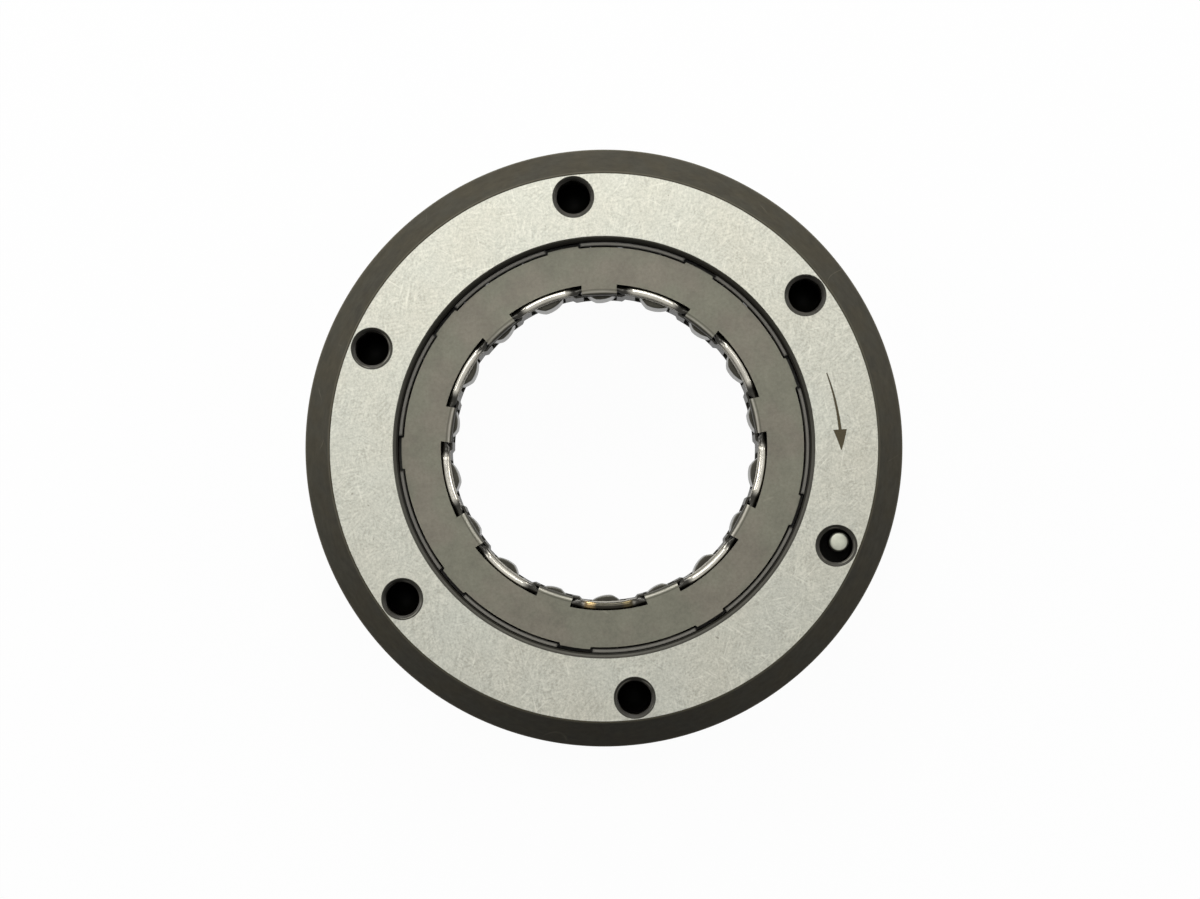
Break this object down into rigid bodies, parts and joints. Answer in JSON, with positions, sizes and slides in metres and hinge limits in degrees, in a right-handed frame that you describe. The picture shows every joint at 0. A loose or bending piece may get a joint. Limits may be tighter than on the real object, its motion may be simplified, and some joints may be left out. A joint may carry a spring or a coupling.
{
  "type": "sprag clutch",
  "caption": "One-way sprag clutch: bolted outer ring with a caged row of tipping sprags on a ribbon spring, open in the middle for an inner race.",
  "frame": {"origin": "on the axis of the clutch, at the back face that it lies on", "axes": "+Z along the axis towards the ground front face with the holes and the arrow; +Y is up in the picture"},
  "size_m": [0.089, 0.089, 0.016],
  "materials": {
    "ring_steel": "hardened steel, front face ground, the rest dark from heat treatment",
    "pin_steel": "ground",
    "cage_sheet": "pressed sheet, satin, slightly oily",
    "spring_steel": "polished stainless strip",
    "sprag_steel": "hardened, tumbled and oiled"
  },
  "bodies": {
    "ring": {"outer_ring": "ring_steel", "locating_pin": "pin_steel"},
    "cage": {"outer_cage": "cage_sheet", "inner_cage": "cage_sheet", "ribbon_spring": "spring_steel"},
    "sprag_01": {"sprag_01": "sprag_steel"},
    "sprag_02": {"sprag_02": "sprag_steel"},
    "sprag_03": {"sprag_03": "sprag_steel"},
    "sprag_04": {"sprag_04": "sprag_steel"},
    "sprag_05": {"sprag_05": "sprag_steel"},
    "sprag_06": {"sprag_06": "sprag_steel"},
    "sprag_07": {"sprag_07": "sprag_steel"},
    "sprag_08": {"sprag_08": "sprag_steel"},
    "sprag_09": {"sprag_09": "sprag_steel"},
    "sprag_10": {"sprag_10": "sprag_steel"},
    "sprag_11": {"sprag_11": "sprag_steel"},
    "sprag_12": {"sprag_12": "sprag_steel"},
    "sprag_13": {"sprag_13": "sprag_steel"},
    "sprag_14": {"sprag_14": "sprag_steel"},
    "sprag_15": {"sprag_15": "sprag_steel"},
    "sprag_16": {"sprag_16": "sprag_steel"},
    "sprag_17": {"sprag_17": "sprag_steel"},
    "sprag_18": {"sprag_18": "sprag_steel"}
  },
  "joints": [
    {"name": "cage_spin", "type": "hinge", "parent": "ring", "child": "cage", "pos_m": [0, 0, 0.008], "axis": [0, 0, 1], "continuous": true},
    {"name": "sprag_01_tilt", "type": "hinge", "parent": "cage", "child": "sprag_01", "pos_m": [0.00044, 0.0261, 0.00805], "axis": [0, 0, -1], "range_deg": [0, 12], "stiffness_Nm_per_rad": 0.005, "deforming": ["ribbon_spring"]},
    {"name": "sprag_02_tilt", "type": "hinge", "parent": "cage", "child": "sprag_02", "pos_m": [0.00934, 0.02438, 0.00805], "axis": [0, 0, -1], "range_deg": [0, 12], "stiffness_Nm_per_rad": 0.005},
    {"name": "sprag_03_tilt", "type": "hinge", "parent": "cage", "child": "sprag_03", "pos_m": [0.01712, 0.01971, 0.00805], "axis": [0, 0, -1], "range_deg": [0, 12], "stiffness_Nm_per_rad": 0.005},
    {"name": "sprag_04_tilt", "type": "hinge", "parent": "cage", "child": "sprag_04", "pos_m": [0.02282, 0.01267, 0.00805], "axis": [0, 0, -1], "range_deg": [0, 12], "stiffness_Nm_per_rad": 0.005},
    {"name": "sprag_05_tilt", "type": "hinge", "parent": "cage", "child": "sprag_05", "pos_m": [0.02578, 0.0041, 0.00805], "axis": [0, 0, -1], "range_deg": [0, 12], "stiffness_Nm_per_rad": 0.005},
    {"name": "sprag_06_tilt", "type": "hinge", "parent": "cage", "child": "sprag_06", "pos_m": [0.02563, -0.00497, 0.00805], "axis": [0, 0, -1], "range_deg": [0, 12], "stiffness_Nm_per_rad": 0.005},
    {"name": "sprag_07_tilt", "type": "hinge", "parent": "cage", "child": "sprag_07", "pos_m": [0.02238, -0.01343, 0.00805], "axis": [0, 0, -1], "range_deg": [0, 12], "stiffness_Nm_per_rad": 0.005},
    {"name": "sprag_08_tilt", "type": "hinge", "parent": "cage", "child": "sprag_08", "pos_m": [0.01644, -0.02028, 0.00805], "axis": [0, 0, -1], "range_deg": [0, 12], "stiffness_Nm_per_rad": 0.005},
    {"name": "sprag_09_tilt", "type": "hinge", "parent": "cage", "child": "sprag_09", "pos_m": [0.00851, -0.02468, 0.00805], "axis": [0, 0, -1], "range_deg": [0, 12], "stiffness_Nm_per_rad": 0.005},
    {"name": "sprag_10_tilt", "type": "hinge", "parent": "cage", "child": "sprag_10", "pos_m": [-0.00044, -0.0261, 0.00805], "axis": [0, 0, -1], "range_deg": [0, 12], "stiffness_Nm_per_rad": 0.005},
    {"name": "sprag_11_tilt", "type": "hinge", "parent": "cage", "child": "sprag_11", "pos_m": [-0.00934, -0.02438, 0.00805], "axis": [0, 0, -1], "range_deg": [0, 12], "stiffness_Nm_per_rad": 0.005},
    {"name": "sprag_12_tilt", "type": "hinge", "parent": "cage", "child": "sprag_12", "pos_m": [-0.01712, -0.01971, 0.00805], "axis": [0, 0, -1], "range_deg": [0, 12], "stiffness_Nm_per_rad": 0.005},
    {"name": "sprag_13_tilt", "type": "hinge", "parent": "cage", "child": "sprag_13", "pos_m": [-0.02282, -0.01267, 0.00805], "axis": [0, 0, -1], "range_deg": [0, 12], "stiffness_Nm_per_rad": 0.005},
    {"name": "sprag_14_tilt", "type": "hinge", "parent": "cage", "child": "sprag_14", "pos_m": [-0.02578, -0.0041, 0.00805], "axis": [0, 0, -1], "range_deg": [0, 12], "stiffness_Nm_per_rad": 0.005},
    {"name": "sprag_15_tilt", "type": "hinge", "parent": "cage", "child": "sprag_15", "pos_m": [-0.02563, 0.00497, 0.00805], "axis": [0, 0, -1], "range_deg": [0, 12], "stiffness_Nm_per_rad": 0.005},
    {"name": "sprag_16_tilt", "type": "hinge", "parent": "cage", "child": "sprag_16", "pos_m": [-0.02238, 0.01343, 0.00805], "axis": [0, 0, -1], "range_deg": [0, 12], "stiffness_Nm_per_rad": 0.005},
    {"name": "sprag_17_tilt", "type": "hinge", "parent": "cage", "child": "sprag_17", "pos_m": [-0.01644, 0.02028, 0.00805], "axis": [0, 0, -1], "range_deg": [0, 12], "stiffness_Nm_per_rad": 0.005},
    {"name": "sprag_18_tilt", "type": "hinge", "parent": "cage", "child": "sprag_18", "pos_m": [-0.00851, 0.02468, 0.00805], "axis": [0, 0, -1], "range_deg": [0, 12], "stiffness_Nm_per_rad": 0.005}
  ],
  "couplings": [
    {"joint": "sprag_02_tilt", "follows": "sprag_01_tilt", "ratio": 1},
    {"joint": "sprag_03_tilt", "follows": "sprag_01_tilt", "ratio": 1},
    {"joint": "sprag_04_tilt", "follows": "sprag_01_tilt", "ratio": 1},
    {"joint": "sprag_05_tilt", "follows": "sprag_01_tilt", "ratio": 1},
    {"joint": "sprag_06_tilt", "follows": "sprag_01_tilt", "ratio": 1},
    {"joint": "sprag_07_tilt", "follows": "sprag_01_tilt", "ratio": 1},
    {"joint": "sprag_08_tilt", "follows": "sprag_01_tilt", "ratio": 1},
    {"joint": "sprag_09_tilt", "follows": "sprag_01_tilt", "ratio": 1},
    {"joint": "sprag_10_tilt", "follows": "sprag_01_tilt", "ratio": 1},
    {"joint": "sprag_11_tilt", "follows": "sprag_01_tilt", "ratio": 1},
    {"joint": "sprag_12_tilt", "follows": "sprag_01_tilt", "ratio": 1},
    {"joint": "sprag_13_tilt", "follows": "sprag_01_tilt", "ratio": 1},
    {"joint": "sprag_14_tilt", "follows": "sprag_01_tilt", "ratio": 1},
    {"joint": "sprag_15_tilt", "follows": "sprag_01_tilt", "ratio": 1},
    {"joint": "sprag_16_tilt", "follows": "sprag_01_tilt", "ratio": 1},
    {"joint": "sprag_17_tilt", "follows": "sprag_01_tilt", "ratio": 1},
    {"joint": "sprag_18_tilt", "follows": "sprag_01_tilt", "ratio": 1}
  ]
}
